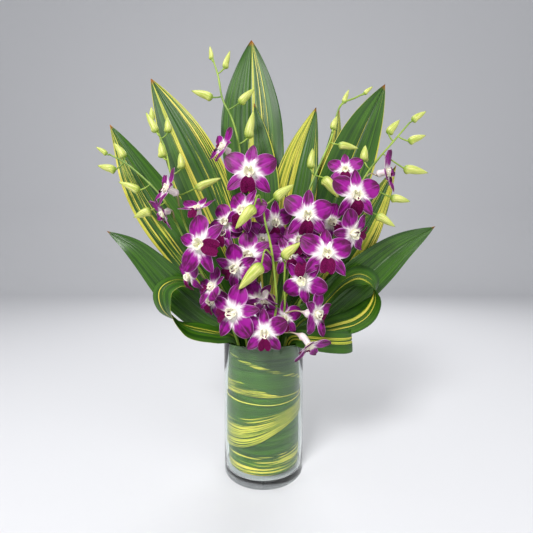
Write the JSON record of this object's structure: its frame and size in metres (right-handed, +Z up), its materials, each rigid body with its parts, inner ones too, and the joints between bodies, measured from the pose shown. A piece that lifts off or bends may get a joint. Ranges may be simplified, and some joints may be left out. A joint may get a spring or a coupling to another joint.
{
  "type": "orchid arrangement",
  "caption": "Purple dendrobium orchid sprays and broad striped leaves standing in a clear glass cylinder vase lined with rolled leaves.",
  "frame": {"origin": "centre of the vase's flat underside", "axes": "+Z up along the vase; -Y is the front, where the flowers face; +X to the viewer's right"},
  "size_m": [0.5348, 0.1874, 0.702],
  "materials": {
    "clear_glass": "clear polished glass with a thick floor",
    "liner_leaf": null,
    "variegated_leaf": null,
    "plain_leaf": null,
    "spray_stem": null,
    "orchid_petal": null
  },
  "bodies": {
    "root": {"vase": "clear_glass", "liner_leaf_top": "liner_leaf", "liner_leaf_middle": "liner_leaf", "liner_leaf_bottom": "liner_leaf", "spray_top": "spray_stem", "spray_left": "spray_stem", "spray_far_left": "spray_stem", "spray_front": "spray_stem", "spray_front_short": "spray_stem", "spray_right": "spray_stem", "spray_far_right": "spray_stem", "leaf_top": "variegated_leaf", "leaf_centre": "variegated_leaf", "leaf_left": "variegated_leaf", "leaf_left_low": "variegated_leaf", "leaf_centre_right": "variegated_leaf", "leaf_behind_right": "variegated_leaf", "leaf_right": "variegated_leaf", "leaf_right_low": "variegated_leaf", "loop_leaf_left": "variegated_leaf", "loop_leaf_right": "variegated_leaf", "loop_leaf_right_low": "variegated_leaf", "side_leaf_left": "plain_leaf", "side_leaf_right": "plain_leaf", "flower_01": "orchid_petal", "flower_02": "orchid_petal", "flower_03": "orchid_petal", "flower_04": "orchid_petal", "flower_05": "orchid_petal", "flower_06": "orchid_petal", "flower_07": "orchid_petal", "flower_08": "orchid_petal", "flower_09": "orchid_petal", "flower_10": "orchid_petal", "flower_11": "orchid_petal", "flower_12": "orchid_petal", "flower_13": "orchid_petal", "flower_14": "orchid_petal", "flower_15": "orchid_petal", "flower_16": "orchid_petal", "flower_17": "orchid_petal", "flower_18": "orchid_petal", "flower_19": "orchid_petal", "flower_20": "orchid_petal", "flower_21": "orchid_petal", "flower_22": "orchid_petal", "flower_23": "orchid_petal", "flower_24": "orchid_petal", "flower_25": "orchid_petal", "flower_26": "orchid_petal", "flower_27": "orchid_petal", "flower_28": "orchid_petal", "flower_29": "orchid_petal", "flower_30": "orchid_petal", "flower_31": "orchid_petal", "flower_32": "orchid_petal", "flower_33": "orchid_petal", "flower_34": "orchid_petal"}
  },
  "joints": []
}
